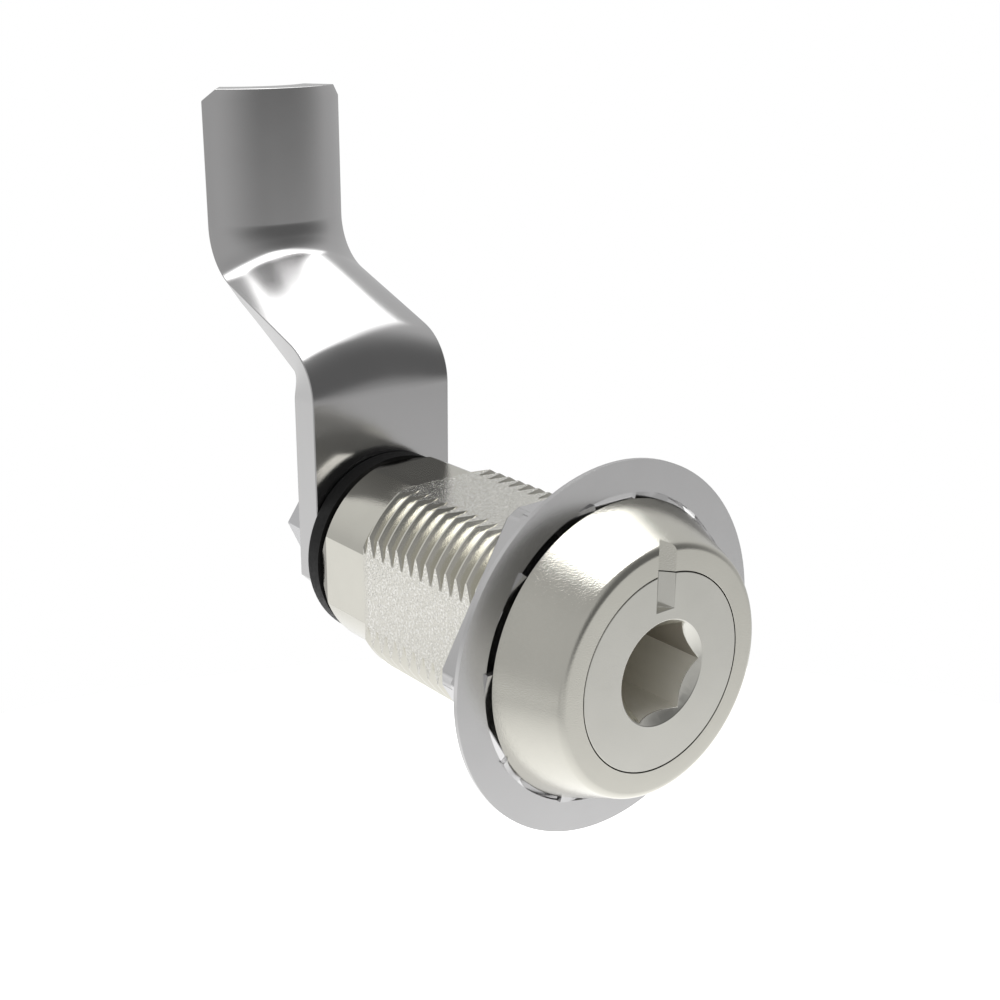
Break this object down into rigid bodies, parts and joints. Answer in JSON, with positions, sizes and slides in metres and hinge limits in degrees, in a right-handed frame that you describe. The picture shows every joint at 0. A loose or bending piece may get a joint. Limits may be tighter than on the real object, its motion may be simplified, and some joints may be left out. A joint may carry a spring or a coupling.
{
  "type": "quarter-turn fastener",
  "caption": "Panel-mount quarter-turn latch with a flush hexagon-socket core, four-flat threaded body, nut, tooth washer and a joggled cam that swings behind a frame.",
  "frame": {"origin": "centre of the head's rear seat, on the latch axis, where the head meets the panel", "axes": "+Y along the latch axis from the head into the cabinet, +Z towards the closed cam's tip, +X to the right seen from the front"},
  "size_m": [0.0346, 0.0631, 0.0626],
  "materials": {
    "housing_steel": "satin nickel",
    "core_steel": "satin nickel",
    "hardware_steel": "satin",
    "cam_steel": "polished stainless",
    "screw_steel": "zinc plated",
    "spring_steel": "spring steel",
    "black_plastic": "black moulded acetal",
    "black_rubber": "black elastomer"
  },
  "bodies": {
    "housing": {"housing": "housing_steel", "head_gasket": "black_rubber", "tooth_washer": "hardware_steel", "mounting_nut": "hardware_steel", "disc_spring": "spring_steel", "rear_bush": "black_plastic"},
    "spindle": {"drive_core": "core_steel", "disc_o_ring": "black_rubber", "shank_o_ring": "black_rubber", "stop_washer": "hardware_steel", "cam": "cam_steel", "flat_washer": "hardware_steel", "split_washer": "spring_steel", "cam_screw": "screw_steel"}
  },
  "joints": [
    {"name": "quarter_turn", "type": "hinge", "parent": "housing", "child": "spindle", "pos_m": [0, 0, 0], "axis": [0, 1, 0], "range_deg": [0, 90]}
  ]
}
